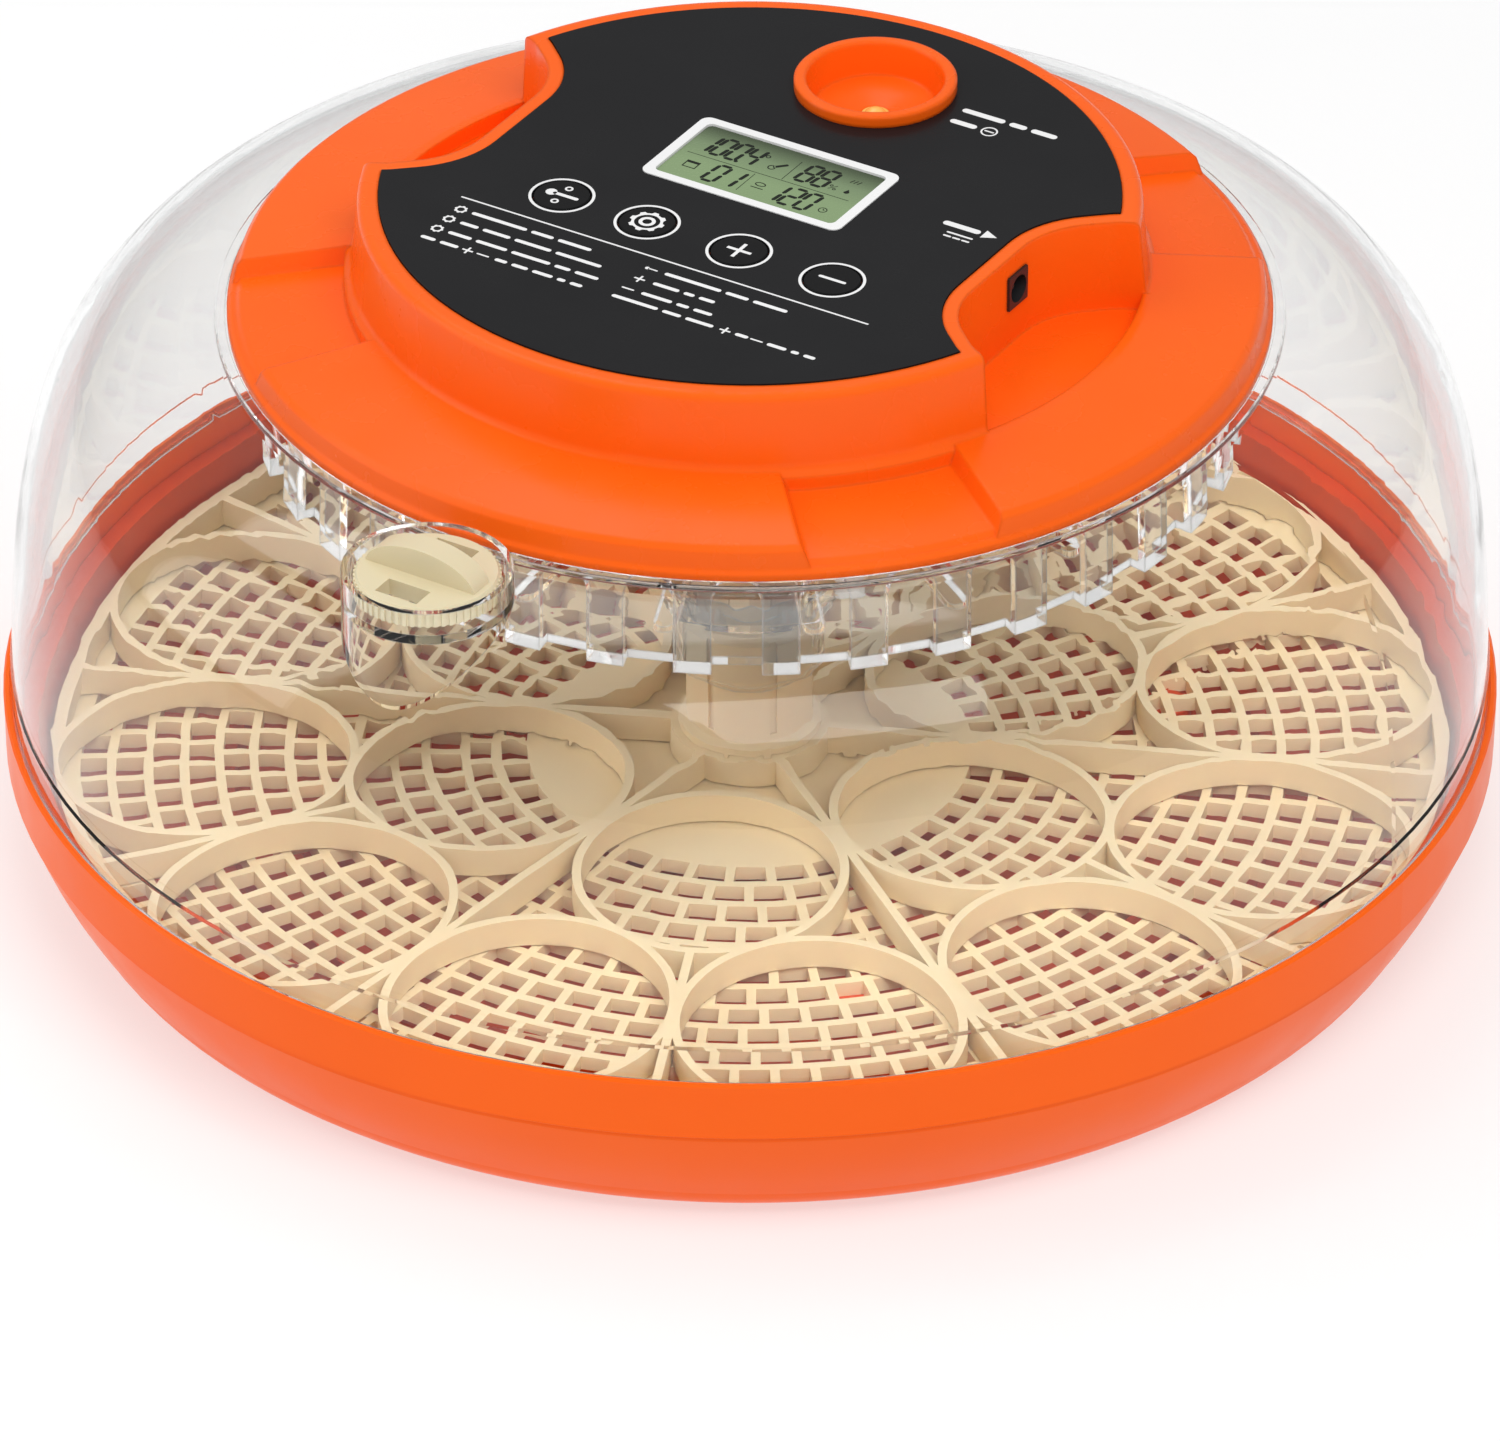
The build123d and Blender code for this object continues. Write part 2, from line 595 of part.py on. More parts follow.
glass_z = rim_z + 106.5
with BuildPart() as display_glass:
    with BuildSketch(Plane.XY.offset(glass_z)):
        with Locations(display):
            RectangleRounded(glass_w, glass_h, 1.2)
    extrude(amount=panel_z + panel_t - 0.3 - glass_z)
display_glass.part.label = "display_glass"
export_step(display_glass.part, "parts/display_glass.step")

board_z = rim_z + 101.0
board_t = 1.6
with BuildPart() as display_backlight:
    with Locations((display[0], display[1], board_z + board_t)):
        Box(44, 22, glass_z - board_z - board_t - 0.5,
            align=(Align.CENTER, Align.CENTER, Align.MIN))
    with Locations((display[0], display[1], glass_z - 0.5)):
        Box(39, 19, 0.5, align=(Align.CENTER, Align.CENTER, Align.MIN))
display_backlight.part.label = "display_backlight"
export_step(display_backlight.part, "parts/display_backlight.step")

with BuildPart() as display_board:
    with BuildSketch(Plane.XY.offset(board_z)):
        with Locations((0, -2)):
            RectangleRounded(86, 54, 3)
            with GridLocations(78, 46, 2, 2):
                Circle(1.5, mode=Mode.SUBTRACT)
    extrude(amount=board_t)
display_board.part.label = "display_board"
export_step(display_board.part, "parts/display_board.step")

# ---- buttons and their switches -----------------------------------------------------------
switch_top_z = board_z + board_t + 1.6
with BuildPart() as button_switches:
    for x in button_xs.values():
        with Locations((x, button_y, board_z + board_t)):
            Box(6, 6, 1.2, align=(Align.CENTER, Align.CENTER, Align.MIN))
            Cylinder(1.7, 1.6, align=(Align.CENTER, Align.CENTER, Align.MIN))
button_switches.part.label = "button_switches"
export_step(button_switches.part, "parts/button_switches.step")

for button_name, x in button_xs.items():
    with BuildPart() as button:
        with BuildSketch(Plane.XY.offset(switch_top_z + button_travel + 0.05)):
            with Locations((x, button_y)):
                Circle(1.6)
        extrude(amount=1.0)
        with BuildSketch(Plane.XY.offset(rim_z + 105.2)):
            with Locations((x, button_y)):
                Circle(button_r + 0.85)
        extrude(amount=1.1)
        with BuildSketch(Plane.XY.offset(rim_z + 106.3)):
            with Locations((x, button_y)):
                Circle(button_r)
        extrude(amount=panel_z + panel_t + 0.15 - rim_z - 106.3)
        chamfer(button.edges().filter_by(GeomType.CIRCLE).group_by(Axis.Z)[-1], 0.25)
    button.part.label = button_name
    export_step(button.part, f"parts/{button_name}.step")

# ---- egg candler --------------------------------------------------------------------------
candler_floor_z = rim_z + 104.2   # in the middle of the dished floor
cup_top_z = rim_z + 112.8
led_r = 2.8
panel_top_z = panel_z + panel_t
with BuildPart() as candler_cup:
    with BuildSketch(Plane.XZ):
        with BuildLine():
            Polyline(
                (led_r + 0.1, candler_floor_z - 1.8), (cup_r, candler_floor_z - 1.8),
                (cup_r, panel_top_z + 0.02), (16.3, panel_top_z + 0.02),
                (16.3, cup_top_z - 0.4), (15.9, cup_top_z), (14.2, cup_top_z),
                (13.8, cup_top_z - 0.4), (12.4, candler_floor_z + 1.8),
                (led_r + 0.1, candler_floor_z),
                (led_r + 0.1, candler_floor_z - 1.8),
            )
        make_face()
    revolve(axis=Axis.Z)
candler_cup.part.position = (0, candler_y, 0)
candler_cup.part.label = "candler_cup"
export_step(candler_cup.part, "parts/candler_cup.step")

with BuildPart() as candler_led:
    with Locations((0, candler_y, candler_floor_z - 4.0)):
        Cylinder(led_r, 4.1, align=(Align.CENTER, Align.CENTER, Align.MIN))
    with Locations((0, candler_y, candler_floor_z + 0.1)):
        Sphere(led_r - 0.2, arc_size1=0)
candler_led.part.label = "candler_led"
export_step(candler_led.part, "parts/candler_led.step")

# ---- power socket -------------------------------------------------------------------------
jack_depth = 9.5
with BuildPart() as power_socket:
    with Locations((jack_face_x, jack_y, jack_z)):
        Box(12.4, 7.0, 7.2, align=(Align.MAX, Align.CENTER, Align.CENTER))
    with BuildSketch(Plane.YZ.offset(jack_face_x)):
        with Locations((jack_y, jack_z)):
            Circle(2.85)
    extrude(amount=-jack_depth, mode=Mode.SUBTRACT)
power_socket.part.label = "power_socket"
export_step(power_socket.part, "parts/power_socket.step")

with BuildPart() as socket_pin:
    with BuildSketch(Plane.YZ.offset(jack_face_x - jack_depth)):
        with Locations((jack_y, jack_z)):
            Circle(1.0)
    extrude(amount=8.0)
    fillet(socket_pin.edges().filter_by(GeomType.CIRCLE).group_by(Axis.X)[-1], 0.4)
socket_pin.part.label = "socket_pin"
export_step(socket_pin.part, "parts/socket_pin.step")

# ---- clear air guard ----------------------------------------------------------------------
# Clear skirt with arch-topped windows, a floor a little inside it, and a cup that drops around the
# drive shaft and ends in a tube over the divider's hub.
arch_r = 4.85
arch_z = rim_z + 79.8 - arch_r
with BuildPart() as air_guard:
    with BuildSketch(Plane.XZ):
        with BuildLine():
            Polyline(
                (88, shelf_top_z - 2.1), (guard_r, shelf_top_z - 2.1), (guard_r, guard_bottom_z),
                (30, guard_bottom_z), (26, guard_bottom_z - 14), (22.2, guard_bottom_z - 36),
                (20.4, guard_bottom_z - 39.2), (17, guard_bottom_z - 40.6),
                (14.9, guard_bottom_z - 40.6), (14.9, rim_z + 4), (13.5, rim_z + 4),
                (13.5, guard_bottom_z - 39.0), (16.6, guard_bottom_z - 39.0),
                (19.2, guard_bottom_z - 38.0), (20.5, guard_bottom_z - 35.6),
                (24.2, guard_bottom_z - 13.8), (28.6, guard_bottom_z + 1.8),
                (guard_r - 1.8, guard_bottom_z + 1.8), (guard_r - 1.8, shelf_top_z - 4.0),
                (88, shelf_top_z - 4.0), (88, shelf_top_z - 2.1),
            )
        make_face()
    revolve(axis=Axis.Z)
    with BuildSketch(Plane.YZ.offset(94.2)):
        with BuildLine():
            Polyline((arch_r, arch_z), (arch_r, guard_bottom_z - 2), (-arch_r, guard_bottom_z - 2),
                     (-arch_r, arch_z))
            ThreePointArc((-arch_r, arch_z), (0, arch_z + arch_r), (arch_r, arch_z))
        make_face()
    window_cut = extrude(amount=6, mode=Mode.PRIVATE)
    with PolarLocations(0, guard_windows):
        add(window_cut, mode=Mode.SUBTRACT)
    # warm air outlets in the floor
    with BuildSketch(Plane.XY.offset(guard_bottom_z)):
        with PolarLocations(68, 18, start_angle=10):
            SlotOverall(34, 4)
    extrude(amount=2, mode=Mode.SUBTRACT)
    with BuildSketch(Plane.XY.offset(shelf_top_z - 5)):
        for angle in screw_angles:
            with Locations(at_angle(screw_r, angle)):
                Circle(screw_hole_r)
    extrude(amount=4, mode=Mode.SUBTRACT)
air_guard.part.label = "air_guard"
export_step(air_guard.part, "parts/air_guard.step")

# ---- head screws --------------------------------------------------------------------------
with BuildPart() as head_screws:
    for angle in screw_angles:
        x, y = at_angle(screw_r, angle)
        with Locations((x, y, shelf_top_z - 4.05)):
            Cylinder(2.9, 1.8, align=(Align.CENTER, Align.CENTER, Align.MAX))
            Cylinder(1.25, 8.8, align=(Align.CENTER, Align.CENTER, Align.MIN))
        with Locations((x, y, shelf_top_z - 5.85)):
            Box(3.4, 0.7, 0.8, align=(Align.CENTER, Align.CENTER, Align.MIN), mode=Mode.SUBTRACT)
            Box(0.7, 3.4, 0.8, align=(Align.CENTER, Align.CENTER, Align.MIN), mode=Mode.SUBTRACT)
head_screws.part.label = "head_screws"
export_step(head_screws.part, "parts/head_screws.step")

# ---- turning motor and drive shaft --------------------------------------------------------
plate_top_z = plate_z + plate_t
with BuildPart() as turning_motor:
    with BuildSketch(Plane.XY.offset(plate_top_z)):
        Rectangle(12, 2 * ear_y + 8)
        with Locations((0, ear_y), (0, -ear_y)):
            Circle(1.6, mode=Mode.SUBTRACT)
    extrude(amount=1.5)
    with BuildSketch(Plane.XY.offset(plate_top_z)):
        Circle(24)
    extrude(amount=13)
    chamfer(turning_motor.edges().filter_by(GeomType.CIRCLE).group_by(Axis.Z)[-1], 0.8)
    with BuildSketch(Plane.XY.offset(plate_z)):
        Circle(6.8)
    extrude(amount=plate_t)
    with BuildSketch(Plane.XY.offset(plate_z)):
        Circle(3.56)
    extrude(amount=9, mode=Mode.SUBTRACT)
turning_motor.part.label = "turning_motor"
export_step(turning_motor.part, "parts/turning_motor.step")

with BuildPart() as motor_screws:
    for y in (ear_y, -ear_y):
        with Locations((0, y, plate_top_z + 1.5)):
            Cylinder(2.6, 1.7, align=(Align.CENTER, Align.CENTER, Align.MIN))
            Cylinder(1.25, 4.5, align=(Align.CENTER, Align.CENTER, Align.MAX))
        with Locations((0, y, plate_top_z + 3.2)):
            Box(3.2, 0.6, 0.8, align=(Align.CENTER, Align.CENTER, Align.MAX), mode=Mode.SUBTRACT)
            Box(0.6, 3.2, 0.8, align=(Align.CENTER, Align.CENTER, Align.MAX), mode=Mode.SUBTRACT)
motor_screws.part.label = "motor_screws"
export_step(motor_screws.part, "parts/motor_screws.step")

shaft_collar_z = plate_z - 5.0
with BuildPart() as drive_shaft:
    with BuildSketch(Plane.XY.offset(socket_floor_z + 1.0)):
        RegularPolygon(socket_af / 2 - 0.25, 6, major_radius=False)
    extrude(amount=shaft_collar_z - socket_floor_z - 1.0)
    with BuildSketch(Plane.XY.offset(shaft_collar_z)):
        Circle(5.6)
    extrude(amount=4.6)
    with BuildSketch(Plane.XY.offset(shaft_collar_z + 4.6)):
        Circle(3.5)
    extrude(amount=8.6)
drive_shaft.part.label = "drive_shaft"
export_step(drive_shaft.part, "parts/drive_shaft.step")

# ---- circulation fan ----------------------------------------------------------------------
fan_hub_z = rim_z + 68.0
with BuildPart() as fan_motor:
    with BuildSketch(Plane.XY.offset(plate_z - 3.6)):
        with Locations((fan_x, 0)):
            Circle(9.0)
    extrude(amount=14)
    with BuildSketch(Plane.XY.offset(plate_top_z)):
        with Locations((fan_x, 0)):
            Circle(11.5)
    extrude(amount=1.5)
    with BuildSketch(Plane.XY.offset(plate_z - 3.6)):
        with Locations((fan_x, 0)):
            Circle(1.06)
    extrude(amount=9, mode=Mode.SUBTRACT)
fan_motor.part.label = "fan_motor"
export_step(fan_motor.part, "parts/fan_motor.step")

with BuildPart() as fan_impeller:
    with BuildSketch(Plane.XY.offset(fan_hub_z)):
        with Locations((fan_x, 0)):
            Circle(9.0)
    extrude(amount=12)
    chamfer(fan_impeller.edges().filter_by(GeomType.CIRCLE).group_by(Axis.Z)[0], 1.5)
    with Locations((fan_x, 0, fan_hub_z + 6)):
        with PolarLocations(17, 9):
            with Locations(Location((0, 0, 0), (35, 0, 0))):
                Box(18, 1.2, 11)
    with BuildSketch(Plane.XY.offset(fan_hub_z + 12)):
        with Locations((fan_x, 0)):
            Circle(1.0)
    extrude(amount=8)
fan_impeller.part.label = "fan_impeller"
export_step(fan_impeller.part, "parts/fan_impeller.step")

# ---- heater -------------------------------------------------------------------------------
heater_r, heater_z = 80.0, rim_z + 70.0
with BuildPart() as heater_ring:
    with BuildSketch(Plane.XZ):
        with Locations((heater_r, heater_z)):
            Circle(2.0)
    revolve(axis=Axis.Z, revolution_arc=345)
    for angle in (0, 345):
        with BuildSketch(Plane.XY.offset(heater_z)):
            with Locations(at_angle(heater_r, angle)):
                Circle(2.0)
        extrude(amount=plate_z - 0.1 - heater_z)
heater_ring.part.label = "heater_ring"
export_step(heater_ring.part, "parts/heater_ring.step")

with BuildPart() as heater_posts:
    with BuildSketch(Plane.XY.offset(heater_z - 3.5)):
        with PolarLocations(heater_r, 4, start_angle=45):
            RectangleRounded(8, 6, 1.5)
    extrude(amount=plate_z - heater_z + 3.5)
    with BuildSketch(Plane.XZ):
        with Locations((heater_r, heater_z)):
            Circle(2.1)
    revolve(axis=Axis.Z, mode=Mode.SUBTRACT)
heater_posts.part.label = "heater_posts"
export_step(heater_posts.part, "parts/heater_posts.step")

# ---- sensor, main board and buzzer --------------------------------------------------------
with BuildPart() as climate_sensor:
    with Locations((38, -50, plate_z)):
        Box(5, 2.4, 12, align=(Align.CENTER, Align.CENTER, Align.MAX))
    with Locations((38, -50, plate_z - 12)):
        Box(13, 6, 7.5, align=(Align.CENTER, Align.CENTER, Align.MAX))
    for x in (34.4, 36.8, 39.2, 41.6):
        with Locations((x, -53, plate_z - 13.5)):
            Box(1.2, 1.6, 4.6, align=(Align.CENTER, Align.CENTER, Align.MAX), mode=Mode.SUBTRACT)
climate_sensor.part.label = "climate_sensor"
export_step(climate_sensor.part, "parts/climate_sensor.step")

main_board_z = plate_top_z + 4.0
with BuildPart() as main_board:
    with BuildSketch(Plane.XY.offset(main_board_z)):
        with Locations((0, board_y)):
            Rectangle(66, 28)
    extrude(amount=1.6)
main_board.part.label = "main_board"
export_step(main_board.part, "parts/main_board.step")

# relay, driver, regulator, connector and two capacitors standing on the main board
blocks = ((-20, 54, 16, 11, 8.5), (17, 42, 12, 10, 6), (-4, 43, 8, 8, 1.4), (23, 57, 10, 6, 6))
with BuildPart() as board_parts:
    for x, y, length, width, height in blocks:
        with Locations((x, y, main_board_z + 1.6)):
            Box(length, width, height, align=(Align.CENTER, Align.CENTER, Align.MIN))
    with Locations((-22, 42, main_board_z + 1.6), (4, 57, main_board_z + 1.6)):
        Cylinder(4, 7.5, align=(Align.CENTER, Align.CENTER, Align.MIN))
board_parts.part.label = "board_parts"
export_step(board_parts.part, "parts/board_parts.step")

with BuildPart() as buzzer:
    with Locations((-30, -50, plate_top_z)):
        Cylinder(6, 7, align=(Align.CENTER, Align.CENTER, Align.MIN))
        Cylinder(1.2, 7, align=(Align.CENTER, Align.CENTER, Align.MIN), mode=Mode.SUBTRACT)
buzzer.part.label = "buzzer"
export_step(buzzer.part, "parts/buzzer.step")
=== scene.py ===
import math

import bpy
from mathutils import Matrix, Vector


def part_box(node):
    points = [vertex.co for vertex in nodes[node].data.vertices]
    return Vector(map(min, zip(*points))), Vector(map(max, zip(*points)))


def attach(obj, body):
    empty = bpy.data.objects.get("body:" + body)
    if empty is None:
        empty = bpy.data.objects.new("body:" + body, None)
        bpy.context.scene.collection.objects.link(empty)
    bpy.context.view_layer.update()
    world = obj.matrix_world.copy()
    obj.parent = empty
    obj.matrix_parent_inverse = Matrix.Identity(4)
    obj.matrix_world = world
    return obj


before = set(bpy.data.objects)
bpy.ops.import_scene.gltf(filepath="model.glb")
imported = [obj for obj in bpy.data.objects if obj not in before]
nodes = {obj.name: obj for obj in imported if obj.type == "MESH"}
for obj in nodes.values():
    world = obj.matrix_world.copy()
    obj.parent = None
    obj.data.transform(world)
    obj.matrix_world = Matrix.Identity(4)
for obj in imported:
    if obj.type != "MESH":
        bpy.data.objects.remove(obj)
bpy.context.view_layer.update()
MM = 0.001               # metres in a millimetre; printed marks are drawn in millimetres


# ---- node helpers -------------------------------------------------------------------------
def material(name):
    """A new material, its node tree and its Principled shader."""
    mat = bpy.data.materials.new(name)
    mat.use_nodes = True
    return mat, mat.node_tree, mat.node_tree.nodes["Principled BSDF"]


def add_node(tree, kind, **values):
    """A shader node with attributes and input defaults given by name."""
    node = tree.nodes.new(kind)
    for key, value in values.items():
        if hasattr(node, key):
            setattr(node, key, value)
        else:
            node.inputs[key.replace("_", " ")].default_value = value
    return node


def noise(tree, scale, detail=2.0, roughness=0.5):
    """Noise in object space; scale is in cycles per metre."""
    coords = add_node(tree, "ShaderNodeTexCoord")
    node = add_node(tree, "ShaderNodeTexNoise", Scale=scale, Detail=detail, Roughness=roughness)
    tree.links.new(coords.outputs["Object"], node.inputs["Vector"])
    return node


def remap(tree, source, low, high, from_low=0.3, from_high=0.7):
    """A Map Range from the source's usual span to low..high."""
    node = tree.nodes.new("ShaderNodeMapRange")
    node.inputs["From Min"].default_value = from_low
    node.inputs["From Max"].default_value = from_high
    node.inputs["To Min"].default_value = low
    node.inputs["To Max"].default_value = high
    tree.links.new(source, node.inputs["Value"])
    return node.outputs["Result"]


def vary_colour(tree, factor, low, high):
    """Colour that moves between two close colours with the factor."""
    ramp = add_node(tree, "ShaderNodeValToRGB")
    ramp.color_ramp.elements[0].color = (*low, 1)
    ramp.color_ramp.elements[1].color = (*high, 1)
    ramp.color_ramp.elements[0].position = 0.3
    ramp.color_ramp.elements[1].position = 0.7
    tree.links.new(factor, ramp.inputs["Fac"])
    return ramp.outputs["Color"]


def bump(tree, height, strength, distance, normal=None):
    """A bump in metres from a height source."""
    node = add_node(tree, "ShaderNodeBump", Strength=strength, Distance=distance)
    tree.links.new(height, node.inputs["Height"])
    if normal is not None:
        tree.links.new(normal, node.inputs["Normal"])
    return node.outputs["Normal"]


def moulded_plastic(name, low, high, roughness, grain=900.0, grain_depth=0.00002,
                    edge=0.0, scatter=0.0, gloss=0.5):
    """Injection-moulded plastic: faint colour drift, slightly uneven gloss, fine surface grain."""
    mat, tree, shader = material(name)
    drift = noise(tree, 18.0, 3.0)
    tree.links.new(vary_colour(tree, drift.outputs["Fac"], low, high), shader.inputs["Base Color"])
    smear = noise(tree, 70.0, 4.0)
    rough = remap(tree, smear.outputs["Fac"], roughness - 0.04, roughness + 0.05)
    tree.links.new(rough, shader.inputs["Roughness"])
    fine = noise(tree, grain, 2.0)
    soft_edge = None
    if edge:
        soft_edge = add_node(tree, "ShaderNodeBevel", Radius=edge, samples=4).outputs["Normal"]
    normal = bump(tree, fine.outputs["Fac"], 0.35, grain_depth, soft_edge)
    tree.links.new(normal, shader.inputs["Normal"])
    if scatter:
        shader.inputs["Subsurface Weight"].default_value = scatter
        shader.inputs["Subsurface Radius"].default_value = (0.004, 0.002, 0.001)
        shader.inputs["Subsurface Scale"].default_value = 1.0
    shader.inputs["Specular IOR Level"].default_value = gloss
    return mat


def cut_edges(tree, radius):
    """Mask that is 1 along sharp edges, from how far a rounded normal leaves the true one."""
    rounded = add_node(tree, "ShaderNodeBevel", Radius=radius, samples=4)
    true = add_node(tree, "ShaderNodeNewGeometry")
    dot = add_node(tree, "ShaderNodeVectorMath", operation="DOT_PRODUCT")
    tree.links.new(rounded.outputs["Normal"], dot.inputs[0])
    tree.links.new(true.outputs["Normal"], dot.inputs[1])
    return remap(tree, dot.outputs["Value"], 1.0, 0.0, 0.72, 0.97)


CLEAR_ROUGHNESS = 0.01


def clear_plastic(name, face, rim, ior, edge, edge_highlight, coat=0.25):
    """Clear polystyrene in its own faint tint face-on, with painted shade greying it where it is
    seen edge-on and painted highlights paling its cut edges; it lets lamps through."""
    mat, tree, shader = material(name)
    shader.inputs["Transmission Weight"].default_value = 1.0
    shader.inputs["IOR"].default_value = ior
    shader.inputs["Coat Weight"].default_value = coat
    shader.inputs["Coat Roughness"].default_value = 0.02
    # painted shade: the base colour runs from the plastic's own faint tint face-on to grey
    # edge-on, standing in for the darker surroundings seen in the wall at grazing angles
    facing = add_node(tree, "ShaderNodeLayerWeight", Blend=0.42)
    edge_on_shade = add_node(tree, "ShaderNodeValToRGB")
    edge_on_shade.color_ramp.elements[0].color = (*face, 1)
    edge_on_shade.color_ramp.elements[1].color = (*rim, 1)
    edge_on_shade.color_ramp.elements[0].position = 0.30
    tree.links.new(facing.outputs["Facing"], edge_on_shade.inputs["Fac"])
    tree.links.new(edge_on_shade.outputs["Color"], shader.inputs["Base Color"])
    ripple = noise(tree, 26.0, 2.0)
    rough = remap(tree, ripple.outputs["Fac"], CLEAR_ROUGHNESS * 0.6, CLEAR_ROUGHNESS * 1.8)
    tree.links.new(rough, shader.inputs["Roughness"])
    tree.links.new(bump(tree, ripple.outputs["Fac"], 0.02, 0.0001), shader.inputs["Normal"])
    passing = add_node(tree, "ShaderNodeBsdfTransparent", Color=(0.97, 0.975, 0.975, 1))
    path = add_node(tree, "ShaderNodeLightPath")
    mix = add_node(tree, "ShaderNodeMixShader")
    output = tree.nodes["Material Output"]
    tree.links.new(path.outputs["Is Shadow Ray"], mix.inputs["Fac"])
    # painted highlight: a pale translucent shader mixed in along the cut edges stands in for the
    # light those edges catch
    pale = add_node(tree, "ShaderNodeBsdfTranslucent", Color=(0.95, 0.96, 0.96, 1))
    fine = add_node(tree, "ShaderNodeMixShader")
    amount = add_node(tree, "ShaderNodeMath", operation="MULTIPLY")
    amount.inputs[1].default_value = edge_highlight
    tree.links.new(cut_edges(tree, edge), amount.inputs[0])
    tree.links.new(amount.outputs["Value"], fine.inputs["Fac"])
    tree.links.new(shader.outputs["BSDF"], fine.inputs[1])
    tree.links.new(pale.outputs["BSDF"], fine.inputs[2])
    tree.links.new(fine.outputs["Shader"], mix.inputs[1])
    tree.links.new(passing.outputs["BSDF"], mix.inputs[2])
    tree.links.new(mix.outputs["Shader"], output.inputs["Surface"])
    return mat


METAL_GRAIN = 2500.0     # cycles per metre


def metal(name, colour, roughness):
    """Plain metal with fine grain and slightly uneven shine."""
    mat, tree, shader = material(name)
    shader.inputs["Metallic"].default_value = 1.0
    drift = noise(tree, 120.0, 3.0)
    darker = tuple(c * 0.86 for c in colour)
    tree.links.new(vary_colour(tree, drift.outputs["Fac"], darker, colour),
                   shader.inputs["Base Color"])
    tree.links.new(remap(tree, drift.outputs["Fac"], roughness * 0.8, roughness * 1.3),
                   shader.inputs["Roughness"])
    fine = noise(tree, METAL_GRAIN, 2.0)
    tree.links.new(bump(tree, fine.outputs["Fac"], 0.2, 0.00001), shader.inputs["Normal"])
    return mat


ORANGE = ((0.95, 0.120, 0.004), (0.98, 0.132, 0.006))
orange = moulded_plastic("orange_abs", *ORANGE, roughness=0.26, edge=0.0011, scatter=0.05,
                         gloss=0.2)
orange_base = moulded_plastic("orange_base", *ORANGE, roughness=0.32, scatter=0.05, gloss=0.15)
# painted shade: the water pan gets a darker, redder copy of the base orange, standing in for the
# shade under the lattice floor
orange_pan = moulded_plastic("orange_pan", (0.60, 0.052, 0.003), (0.70, 0.066, 0.004),
                             roughness=0.38, gloss=0.3)
cream = moulded_plastic("cream_pp", (0.86, 0.67, 0.41), (0.92, 0.74, 0.47), roughness=0.42,
                        scatter=0.10, gloss=0.3)
ivory = moulded_plastic("ivory_pp", (0.70, 0.61, 0.40), (0.76, 0.67, 0.46), roughness=0.38,
                        scatter=0.10, gloss=0.35)
clear = clear_plastic("clear_ps", (0.98, 0.983, 0.983), (0.80, 0.81, 0.81), ior=1.3,
                      edge=0.0005, edge_highlight=0.45)
guard_clear = clear_plastic("clear_guard", (0.99, 0.992, 0.992), (0.97, 0.975, 0.975), ior=1.12,
                            coat=0.5, edge=0.0008, edge_highlight=0.75)
overlay = moulded_plastic("black_overlay", (0.010, 0.010, 0.011), (0.012, 0.012, 0.013),
                          roughness=0.24, grain=4000.0, grain_depth=0.000003, gloss=0.11)
key_black = moulded_plastic("key_black", (0.005, 0.005, 0.0055), (0.007, 0.007, 0.0075),
                            roughness=0.45, grain=4000.0, grain_depth=0.000006, gloss=0.10)
print_white = moulded_plastic("print_white", (0.80, 0.80, 0.80), (0.86, 0.86, 0.86),
                              roughness=0.5, grain=6000.0, grain_depth=0.000004, gloss=0.2)
segment = moulded_plastic("lcd_segment", (0.010, 0.013, 0.009), (0.014, 0.018, 0.012),
                          roughness=0.4, grain=6000.0, grain_depth=0.000003, gloss=0.1)
white = moulded_plastic("white_plastic", (0.84, 0.84, 0.84), (0.88, 0.88, 0.88), roughness=0.35)
grey = moulded_plastic("grey_plastic", (0.10, 0.105, 0.11), (0.13, 0.135, 0.14), roughness=0.5)
black = moulded_plastic("black_plastic", (0.012, 0.012, 0.013), (0.02, 0.02, 0.022),
                        roughness=0.4)
board = moulded_plastic("circuit_board", (0.010, 0.055, 0.022), (0.016, 0.085, 0.034),
                        roughness=0.35)
rubber = moulded_plastic("rubber_black", (0.018, 0.018, 0.018), (0.028, 0.028, 0.028),
                         roughness=0.75)
ceramic = moulded_plastic("ceramic", (0.70, 0.67, 0.60), (0.80, 0.77, 0.70), roughness=0.6)
lens = moulded_plastic("led_lens", (0.85, 0.50, 0.10), (0.95, 0.60, 0.16), roughness=0.12)
steel = metal("steel", (0.62, 0.62, 0.63), 0.32)
nickel = metal("nickel", (0.75, 0.73, 0.68), 0.18)
zinc = metal("zinc", (0.50, 0.51, 0.53), 0.42)


